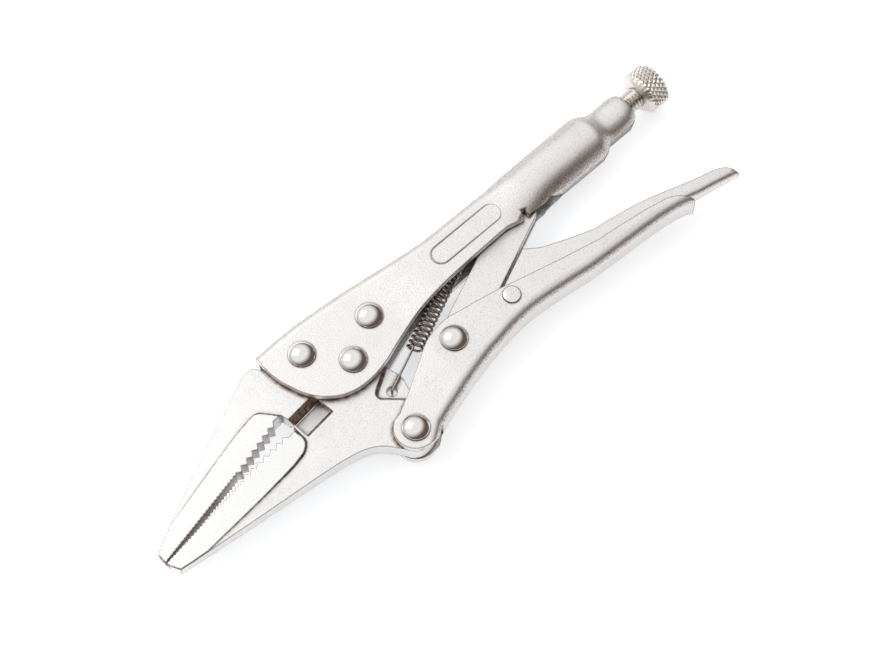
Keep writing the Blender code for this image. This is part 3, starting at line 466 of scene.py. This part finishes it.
def spin_profile(points: list[tuple[float, float]], steps: int) -> bmesh.types.BMesh:
    """Turns an open profile that starts and ends on the axis about Z.

    Args:
        points: (radius, height) from the top to the bottom.
        steps: Segments round the axis.

    Returns:
        A closed bmesh.
    """
    bm = bmesh.new()
    line = [bm.verts.new((radius, 0.0, height)) for radius, height in points]
    edges = [bm.edges.new(pair) for pair in zip(line, line[1:])]
    bmesh.ops.spin(
        bm, geom=line + edges, cent=(0, 0, 0), axis=(0, 0, 1), angle=2 * math.pi, steps=steps,
        use_merge=True,
    )
    bmesh.ops.remove_doubles(bm, verts=bm.verts, dist=SPIN_MERGE)
    bmesh.ops.recalc_face_normals(bm, faces=bm.faces)
    return bm


def plated_copy(node: str) -> bmesh.types.BMesh:
    """A merged copy of a frame node, with its flat faces in one piece.

    Args:
        node: The frame node.

    Returns:
        The copy.
    """
    bm = bmesh.new()
    bm.from_mesh(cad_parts[node].data)
    bmesh.ops.remove_doubles(bm, verts=bm.verts, dist=COPY_MERGE)
    bmesh.ops.dissolve_limit(
        bm, angle_limit=FLAT_ANGLE, verts=bm.verts, edges=bm.edges, use_dissolve_boundaries=False
    )
    return bm


def sweep_wire(name: str, points: list[Vector], radius: float, closed: bool = False) -> bpy.types.Mesh:
    """Sweeps a round wire along a line of points.

    Args:
        name: The mesh's name.
        points: The wire's centre line.
        radius: The wire's radius.
        closed: Joins the last point to the first. An open wire gets capped ends.

    Returns:
        The wire's mesh.
    """
    curve = bpy.data.curves.new(name, "CURVE")
    curve.dimensions = "3D"
    curve.bevel_depth = radius
    curve.bevel_resolution = 3
    curve.use_fill_caps = not closed
    spline = curve.splines.new("POLY")
    spline.points.add(len(points) - 1)
    spline.use_cyclic_u = closed
    for point, place in zip(spline.points, points):
        point.co = (*place, 1.0)
    holder = bpy.data.objects.new(name, curve)
    mesh = bpy.data.meshes.new_from_object(holder)
    bpy.data.objects.remove(holder)
    return mesh


def arc(radius: float, height: float, start: float, end: float, steps: int) -> list[tuple[float, float]]:
    """Points of an ellipse's arc in a profile.

    Args:
        radius: Half width.
        height: Half height.
        start: First angle from the profile's horizontal, in degrees.
        end: Last angle, in degrees.
        steps: Number of steps.

    Returns:
        (radius, height) points.
    """
    points = []
    for step in range(steps + 1):
        angle = math.radians(start + (end - start) * step / steps)
        points.append((radius * math.cos(angle), height * math.sin(angle)))
    return points


# ------------------------------------------------------------------ sub-assemblies


@dataclass
class Handles:
    """The two folded handles, with the rim that is pressed into the upper one."""

    # the sheet's fold flanks get painted shade
    sheet: Plating = Plating("pressed_sheet", fold_shade_share=0.62, roughness=0.42)
    # the rim's darker colour is painted shade for the pressed line
    rim: Plating = Plating("pressed_rim", colour=(0.6, 0.55, 0.5), shade_share=0.9, edge_shade_share=0.6)
    rim_from: Vector = field(default_factory=lambda: Vector((44.6, 8.15, 0)) * MM)
    rim_to: Vector = field(default_factory=lambda: Vector((66.2, 8.1, 0)) * MM)
    rim_radius: float = 3.3 * MM
    rim_wire: float = 0.24 * MM
    rim_steps: int = 14
    cheek_half: float = 6.93 * MM

    def build(self) -> None:
        """Makes both handles and the pressed rim."""
        look = self.sheet.make()
        for node, body in (("upper_handle", Body.FRAME), ("lower_handle", Body.GRIP)):
            name = node + "_plated"
            add_piece(name, to_mesh(name, plated_copy(node)), look, node, body, even=True)
        self.press_rim()

    def press_rim(self) -> None:
        """Makes the long rounded rim on the near cheek."""
        pivot = centre_of("jaw_pivot_rivet") + Vector((0, 0, self.cheek_half))
        points = []
        for middle, first in ((pivot + self.rim_to, -90), (pivot + self.rim_from, 90)):
            for step in range(self.rim_steps + 1):
                angle = math.radians(first + 180 * step / self.rim_steps)
                points.append(middle + Vector((math.cos(angle), math.sin(angle), 0)) * self.rim_radius)
        mesh = sweep_wire("pressed_rim", points, self.rim_wire, closed=True)
        add_piece("pressed_rim", mesh, self.rim.make(), "", Body.FRAME, 80.0)


@dataclass
class Jaws:
    """The forged jaws: teeth, ground pads, wire cutter and the spring's web."""

    # marked: ground pads are brightened, and drafted walls and teeth get painted shade
    forging: Plating = Plating(
        "forged_plating", colour=(0.77, 0.762, 0.752), roughness=0.38, marked=True, shade_reach=1.7 * MM,
        grain=0.38 * MM, grain_depth=0.05 * MM, open_corner=0.95, shut_corner=0.68,
    )
    plate_half: float = 3.1 * MM
    tip_half: float = 2.0 * MM
    pad_rise: float = 0.45 * MM
    pad_taper: float = 0.8
    flat: float = 0.97
    drafted: float = 0.86
    upright: float = 0.12
    throat_from_pivot: float = 27.5 * MM
    bite_above_low: float = 2.0 * MM
    nose_half: float = 8.5 * MM
    nose_taper: float = 0.6
    fine_from: float = 0.38
    # painted shade between the teeth: its weight on the coarse teeth, and how fast it grows towards the
    # fine ones
    coarse_tooth_shade: float = 0.22
    tooth_shade_growth: float = 5.0

    def build(self) -> None:
        """Makes both jaws."""
        look = self.forging.make()
        for node, body in (("fixed_jaw", Body.FRAME), ("lower_jaw", Body.JAW)):
            name = node + "_plated"
            bm = plated_copy(node)
            self.mark_faces(bm, node)
            add_piece(name, to_mesh(name, bm), look, node, body, 28.0, even=True)

    def mark_faces(self, bm: bmesh.types.BMesh, node: str) -> None:
        """Marks the ground pads, the drafted walls and the teeth as face attributes; the teeth's mark holds
        the weight of their painted shade.

        Args:
            bm: The jaw.
            node: The frame node it was copied from.
        """
        middle = centre_of(node).z
        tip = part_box(node)[0].x
        throat = centre_of("jaw_pivot_rivet").x - self.throat_from_pivot
        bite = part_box("fixed_jaw")[0].y + self.bite_above_low
        layers = {name: bm.faces.layers.float.new(name) for name in ("pad", "wall", "tooth")}
        for face in bm.faces:
            place = face.calc_center_median()
            upright = abs(face.normal.z)
            on_nose = place.x < throat
            share = min(max((throat - place.x) / (throat - tip), 0.0), 1.0)
            plate = self.plate_half + (self.tip_half - self.plate_half) * share
            raised = abs(place.z - middle) - plate > self.pad_rise * (1 - self.pad_taper * share)
            inner = self.nose_half * (1 - self.nose_taper * share) > abs(place.y - bite)
            # painted shade between the teeth: light at the coarse teeth, dark between the fine ones
            shade_weight = min(max((share - self.fine_from) * self.tooth_shade_growth, self.coarse_tooth_shade), 1.0)
            face[layers["pad"]] = float(upright > self.flat and on_nose and raised)
            face[layers["wall"]] = float(self.upright < upright < self.drafted)
            face[layers["tooth"]] = shade_weight * float(upright <= self.upright and on_nose and inner)


@dataclass
class Toggle:
    """The over-centre link and the release lever beside it."""

    link_sheet: Plating = Plating("link_sheet", roughness=0.38)
    # the lever's fold flanks get painted shade
    lever_sheet: Plating = Plating("lever_sheet", roughness=0.4, fold_shade_share=0.55)

    def build(self) -> None:
        """Makes the link and the lever."""
        for node, body, finish in (
            ("toggle_link", Body.LINK, self.link_sheet), ("release_lever", Body.LEVER, self.lever_sheet),
        ):
            name = node + "_plated"
            mesh = to_mesh(name, plated_copy(node))
            add_piece(name, mesh, finish.make(), node, body, even=True)


@dataclass
class Rivets:
    """The domed rivets and the flat one of the release lever."""

    polished: Plating = Plating(
        "polished_head", colour=(0.76, 0.745, 0.72), roughness=0.09, roughness_spread=0.04,
        grain_share=0.15, grain_depth=0.004 * MM, shade_reach=1.2 * MM, edge=0.3 * MM,
    )
    flat_head: Plating = Plating(
        "flat_head", colour=(0.77, 0.755, 0.735), roughness=0.22, grain_depth=0.02 * MM, edge=0.55 * MM,
    )
    bodies: dict[str, Body] = field(
        default_factory=lambda: {
            "front_jaw_rivet": Body.FRAME, "rear_jaw_rivet": Body.FRAME, "jaw_pivot_rivet": Body.FRAME,
            "handle_pivot_rivet": Body.GRIP, "link_pivot_rivet": Body.GRIP, "lever_rivet": Body.GRIP,
        }
    )
    dome_height: float = 2.4 * MM
    flat_height: float = 0.6 * MM
    rim: float = 0.28 * MM
    shank_share: float = 0.66
    steps: int = 72

    def build(self) -> None:
        """Makes every rivet."""
        domed = (self.polished.make(), self.dome_height)
        flat = (self.flat_head.make(), self.flat_height)
        for node, body in self.bodies.items():
            look, height = flat if node == "lever_rivet" else domed
            size = size_of(node)
            bm = spin_profile(self.profile(size.x / 2, size.z / 2, height), self.steps)
            bmesh.ops.translate(bm, verts=bm.verts, vec=centre_of(node))
            add_piece(node + "_turned", to_mesh(node + "_turned", bm), look, node, body, 40.0)

    def profile(self, radius: float, half: float, height: float) -> list[tuple[float, float]]:
        """Half of a rivet's section, mirrored.

        Args:
            radius: The head's radius.
            half: Half of the rivet's whole length.
            height: The head's height.

        Returns:
            (radius, height) points from the top pole to the bottom pole.
        """
        seat = half - height
        rim = min(self.rim, height * 0.35)
        cap = height - rim
        ball = (radius * radius + cap * cap) / (2 * cap)
        slope = math.degrees(math.asin(radius / ball))
        upper = [(0.0, half)]
        for reach, rise in reversed(arc(ball, ball, 90 - slope, 88, 18)):
            upper.append((reach, half - ball + rise))
        upper += [(radius, seat + rim * 0.3), (radius - rim * 0.3, seat), (radius * self.shank_share, seat)]
        return upper + [(reach, -rise) for reach, rise in reversed(upper)]


@dataclass
class Adjuster:
    """The threaded screw and its knurled knob, both along X."""

    thread: Plating = Plating(
        "cut_thread", colour=(0.66, 0.62, 0.57), roughness=0.24, shade_reach=0.7 * MM, shade_share=0.9,
        edge=0.08 * MM,
    )
    # the knurl's grooves get painted shade in a lighter brown
    knurled: Plating = Plating(
        "knurled_plating", colour=(0.72, 0.68, 0.63), roughness=0.2, shade_reach=0.8 * MM,
        shade_share=1.0, edge=0.08 * MM, painted_shade_colour=(0.2, 0.13, 0.08),
    )
    pitch: float = 1.25 * MM
    thread_depth: float = 0.55 * MM
    thread_rows: int = 8
    screw_steps: int = 40
    run_out_depth: float = 1.0 * MM
    shoulder_gap: float = 0.06 * MM
    spigot: float = 2.2 * MM
    bore_gap: float = 0.3 * MM
    knurl_depth: float = 0.45 * MM
    knurl_count: int = 28
    knurl_lean: float = 0.75
    knurl_rows: int = 34
    knob_steps: int = 224
    band_front: float = 2.1 * MM
    band_rear: float = 1.7 * MM
    bore_share: float = 0.6
    # the crown's points: mm in from the rim, and mm below the end
    crown: tuple[tuple[float, float], ...] = ((2.4, 0.12), (1.3, 0.5), (0.45, 1.15))
    # the shoulder's points: mm in from the rim, and mm above the front face
    shoulder: tuple[tuple[float, float], ...] = ((0.5, 1.75), (1.9, 0.25), (2.2, 0.04), (2.5, 0.0))

    def build(self) -> None:
        """Makes the screw and the knob."""
        self.cut_screw()
        self.turn_knob()

    def lay_down(self, bm: bmesh.types.BMesh, node: str) -> None:
        """Turns a piece made about Z so that it lies along X where its frame node does.

        Args:
            bm: The piece.
            node: The frame node.
        """
        middle = centre_of(node)
        place = Vector((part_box(node)[0].x, middle.y, middle.z))
        turn = Matrix.Translation(place) @ Matrix.Rotation(math.pi / 2, 4, "Y")
        bmesh.ops.transform(bm, matrix=turn, verts=bm.verts)

    def sink(self, vertex: bmesh.types.BMVert, radius: float, cut: float) -> None:
        """Moves a vertex of a round surface straight in towards the axis.

        Args:
            vertex: The vertex.
            radius: The surface's radius.
            cut: How deep it goes.
        """
        reach = math.hypot(vertex.co.x, vertex.co.y)
        vertex.co.x *= (radius - cut) / reach
        vertex.co.y *= (radius - cut) / reach

    def cut_screw(self) -> None:
        """Makes the screw, with a helical thread up to the spigot."""
        size = size_of("adjusting_screw")
        radius, length = size.y / 2, size.x
        knob_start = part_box("knurled_knob")[0].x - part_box("adjusting_screw")[0].x
        shoulder = knob_start - self.shoulder_gap
        rows = round(shoulder / (self.pitch / self.thread_rows))
        points = [(0.0, length), (self.spigot, length), (self.spigot, shoulder)]
        points += [(radius, shoulder * (1 - row / rows)) for row in range(rows + 1)]
        bm = spin_profile(points + [(0.0, 0.0)], self.screw_steps)
        for vertex in bm.verts:
            if math.hypot(vertex.co.x, vertex.co.y) < radius * 0.9 or vertex.co.z > shoulder:
                continue
            angle = math.atan2(vertex.co.y, vertex.co.x) / (2 * math.pi)
            phase = (vertex.co.z / self.pitch - angle) % 1.0
            cut = self.thread_depth * min(1.0, 1.15 * (1 - abs(2 * phase - 1)))
            run_out = min(1.0, vertex.co.z / self.pitch)
            self.sink(vertex, radius, cut * run_out + self.run_out_depth * (1 - run_out))
        self.lay_down(bm, "adjusting_screw")
        mesh = to_mesh("threaded_screw", bm)
        add_piece("threaded_screw", mesh, self.thread.make(), "adjusting_screw", Body.SCREW, 50.0)

    def knob_profile(self, radius: float, length: float) -> list[tuple[float, float]]:
        """Half of the knob's section, from its crowned end to the bottom of its bore.

        Args:
            radius: The knob's radius.
            length: The knob's length.

        Returns:
            (radius, height) points.
        """
        bore = self.spigot + self.bore_gap
        top = length - self.band_rear
        band = top - self.band_front
        points = [(0.0, length), (radius * 0.3, length - 0.02 * MM)]
        points += [(radius - inset * MM, length - drop * MM) for inset, drop in self.crown]
        points += [(radius, top - band * row / self.knurl_rows) for row in range(self.knurl_rows + 1)]
        points += [(radius - inset * MM, height * MM) for inset, height in self.shoulder]
        depth = length * self.bore_share
        return points + [(bore, 0.0), (bore, depth), (0.0, depth)]

    def turn_knob(self) -> None:
        """Makes the knob: a smooth chamfer, a diamond knurl and a crowned end."""
        size = size_of("knurled_knob")
        radius, length = size.y / 2, size.x
        bm = spin_profile(self.knob_profile(radius, length), self.knob_steps)
        slack = 0.01 * MM
        for vertex in bm.verts:
            on_band = self.band_front - slack < vertex.co.z < length - self.band_rear + slack
            if math.hypot(vertex.co.x, vertex.co.y) < radius * 0.99 or not on_band:
                continue
            turn = math.atan2(vertex.co.y, vertex.co.x) / (2 * math.pi) * self.knurl_count
            climb = vertex.co.z / (2 * math.pi * radius) * self.knurl_count * self.knurl_lean
            grooves = [abs(2 * ((turn + side * climb) % 1.0) - 1) for side in (1, -1)]
            self.sink(vertex, radius, self.knurl_depth * (1 - min(1.0, 1.35 * min(grooves))))
        self.lay_down(bm, "knurled_knob")
        mesh = to_mesh("diamond_knob", bm)
        add_piece("diamond_knob", mesh, self.knurled.make(), "knurled_knob", Body.KNOB, 42.0)


@dataclass
class Spring:
    """The tension spring between the lower jaw's web and the upper handle."""

    # the wire gets near-black painted shade where its coils crowd together
    wire: Plating = Plating(
        "spring_wire", colour=(0.36, 0.31, 0.28), grain_colour=(0.14, 0.11, 0.1), roughness=0.22,
        grain=0.2 * MM, grain_share=0.55, shade_reach=0.7 * MM, painted_shade_colour=(0.08, 0.055, 0.045),
        edge=0.05 * MM,
    )
    web_hole: Vector = field(default_factory=lambda: Vector((2.8, -14.8, 0)) * MM)
    anchor: Vector = field(default_factory=lambda: Vector((56.5, 8.2, 0)) * MM)
    wire_radius: float = 0.45 * MM
    coil_radius: float = 2.35 * MM
    turns: int = 18
    pitch: float = 1.85 * MM
    hook: float = 16.2 * MM
    web_half: float = 1.5 * MM
    tab_half: float = 0.8 * MM
    gap: float = 0.3 * MM
    bend: float = 0.7 * MM
    bend_steps: int = 6
    points_a_turn: int = 20
    fixed_end: float = 2.0 * MM

    def build(self) -> None:
        """Winds the spring as one swept wire that stretches between the handle and the jaw."""
        bm = bmesh.new()
        bm.from_mesh(sweep_wire("spring_path", self.route(), self.wire_radius))
        bmesh.ops.remove_doubles(bm, verts=bm.verts, dist=SPIN_MERGE)
        mesh = to_mesh("wound_spring", bm)
        spring = add_piece("wound_spring", mesh, self.wire.make(), "tension_spring", None, 60.0)
        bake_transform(spring)

    def hook_points(self, middle: Vector, inwards: Vector, half: float) -> list[Vector]:
        """One hook, from its end below the hole to where the wire runs straight.

        Args:
            middle: The hole's centre.
            inwards: The way from the hole to the coil.
            half: Half the thickness of the sheet that it hooks through.

        Returns:
            Points of the wire's centre line.
        """
        up = Vector((0, 0, 1))
        near = half + self.wire_radius + self.gap
        points = [middle - up * (near + 0.4 * MM), middle]
        corner = middle + up * (near - self.bend) + inwards * self.bend
        for step in range(self.bend_steps + 1):
            angle = math.pi / 2 * step / self.bend_steps
            points.append(corner + (up * math.sin(angle) - inwards * math.cos(angle)) * self.bend)
        return points

    def route(self) -> list[Vector]:
        """The whole wire's centre line.

        Returns:
            Points from the web's hole to the handle's tab.
        """
        pivot = centre_of("jaw_pivot_rivet")
        start = pivot + self.web_hole
        end = pivot + self.anchor
        run = (end - start).normalized()
        side = Vector((-run.y, run.x, 0))
        up = Vector((0, 0, 1))
        points = self.hook_points(start, run, self.web_half)
        steps = self.turns * self.points_a_turn
        for step in range(steps + 1):
            angle = 2 * math.pi * step / self.points_a_turn
            along = self.hook + self.turns * self.pitch * step / steps
            around = self.coil_radius * (up * math.cos(angle) + side * math.sin(angle))
            points.append(start + run * along + around)
        return points + self.hook_points(end, -run, self.tab_half)[::-1]


# ------------------------------------------------------------------ studio


@dataclass
class Studio:
    """A pale floor, a soft key light, the surroundings and the camera."""

    aim_from_pivot: Vector = field(default_factory=lambda: Vector((27.344, -7.85, 0.0)) * MM)
    distance: float = 0.65
    tilt: float = math.radians(24)
    heading: float = math.radians(42.5)
    lens: float = 84.72
    floor_size: float = 6.0
    floor_colour: Colour = (0.88, 0.88, 0.88)
    glow: Colour = (0.93, 0.96, 1.0)
    glow_strength: float = 0.46
    patch: float = 0.4
    patch_shade: float = 0.985
    # across, ahead and above, as the camera sees them
    key_place: tuple[float, float, float] = (-0.9, 0.4, 1.0)
    key_size: float = 0.9
    key_power: float = 6.5
    key_colour: Colour = (1.0, 0.995, 0.985)
    sky: Colour = (1.06, 1.062, 1.065)
    horizon: Colour = (0.15, 0.115, 0.09)
    # the brightest way to look, in the same order
    brightest: tuple[float, float, float] = (-0.36, 0.22, 0.9)
    horizon_end: float = 0.22
    sky_start: float = 0.64

    def build(self) -> None:
        """Sets up the floor, the lights, the surroundings and the camera."""
        self.lay_floor()
        self.hang_key()
        self.paint_surroundings()
        self.place_camera()
        bpy.context.scene.view_settings.view_transform = "Standard"

    def aim(self) -> Vector:
        """The point that the camera and the light face."""
        return centre_of("jaw_pivot_rivet") + self.aim_from_pivot

    def lay_out(self, across: float, ahead: float, above: float) -> Vector:
        """Turns distances as the camera sees them into the frame's own.

        Args:
            across: How far it is to the camera's right.
            ahead: How far it is along the camera's heading over the floor.
            above: How high it is.

        Returns:
            The place or the direction.
        """
        right = Vector((math.cos(self.heading), -math.sin(self.heading), 0))
        away = Vector((math.sin(self.heading), math.cos(self.heading), 0))
        return right * across + away * ahead + Vector((0, 0, above))

    def lay_floor(self) -> None:
        """Makes the pale floor."""
        bm = bmesh.new()
        bmesh.ops.create_grid(bm, x_segments=4, y_segments=4, size=self.floor_size / 2)
        mesh = to_mesh("floor", bm)
        bench = NodeBench("pale_floor")
        tone = bench.span(bench.noise(self.patch), 0.2, 0.8)
        dim = tuple(part * self.patch_shade for part in self.floor_colour)
        bench.feed(bench.shader.inputs["Base Color"], bench.mix(tone, self.floor_colour, dim))
        bench.shader.inputs["Roughness"].default_value = 0.9
        bench.shader.inputs["Emission Color"].default_value = (*self.glow, 1.0)
        bench.shader.inputs["Emission Strength"].default_value = self.glow_strength
        mesh.materials.append(bench.material)
        floor = bpy.data.objects.new("floor", mesh)
        bpy.context.scene.collection.objects.link(floor)

    def hang_key(self) -> None:
        """Hangs a large soft key light at the upper left."""
        place = self.lay_out(*self.key_place)
        light = bpy.data.lights.new("key", "AREA")
        light.shape = "SQUARE"
        light.size = self.key_size
        light.energy = self.key_power
        light.color = self.key_colour
        holder = bpy.data.objects.new("key", light)
        holder.location = place
        holder.rotation_mode = "QUATERNION"
        holder.rotation_quaternion = (self.aim() - place).to_track_quat("-Z", "Y")
        bpy.context.scene.collection.objects.link(holder)

    def paint_surroundings(self) -> None:
        """Bright overhead and at the upper left, dim and brown at the lower right."""
        world = bpy.data.worlds.new("studio")
        bpy.context.scene.world = world
        world.use_nodes = True
        tree = world.node_tree
        ground = tree.nodes["Background"]
        place = tree.nodes.new("ShaderNodeTexCoord")
        facing = tree.nodes.new("ShaderNodeVectorMath")
        facing.operation = "DOT_PRODUCT"
        facing.inputs[1].default_value = self.lay_out(*self.brightest).normalized()
        ramp = tree.nodes.new("ShaderNodeValToRGB")
        stops = ((0.0, self.horizon), (self.horizon_end, self.horizon), (self.sky_start, self.sky))
        ramp.color_ramp.elements.new(self.horizon_end)
        for stop, (position, colour) in zip(ramp.color_ramp.elements, stops):
            stop.position = position
            stop.color = (*colour, 1.0)
        tree.links.new(place.outputs["Generated"], facing.inputs[0])
        tree.links.new(facing.outputs["Value"], ramp.inputs["Fac"])
        tree.links.new(ramp.outputs["Color"], ground.inputs["Color"])
        ground.inputs["Strength"].default_value = 1.0

    def place_camera(self) -> None:
        """Sets the camera over the object, turned so that the jaws are low and left."""
        right = self.lay_out(1, 0, 0)
        back = self.lay_out(0, -math.sin(self.tilt), math.cos(self.tilt))
        top = self.lay_out(0, math.cos(self.tilt), math.sin(self.tilt))
        data = bpy.data.cameras.new("camera")
        data.sensor_width = 36.0
        data.lens = self.lens
        data.clip_start = 0.01
        camera = bpy.data.objects.new("camera", data)
        turn = Matrix((right, top, back)).transposed().to_4x4()
        camera.matrix_world = Matrix.Translation(self.aim() + back * self.distance) @ turn
        bpy.context.scene.collection.objects.link(camera)
        bpy.context.scene.camera = camera


def main() -> None:
    logging.basicConfig(level=logging.INFO, format="%(name)s: %(message)s")
    for assembly in (Handles(), Jaws(), Toggle(), Rivets(), Adjuster(), Spring(), Studio()):
        assembly.build()


if __name__ == "__main__":
    main()
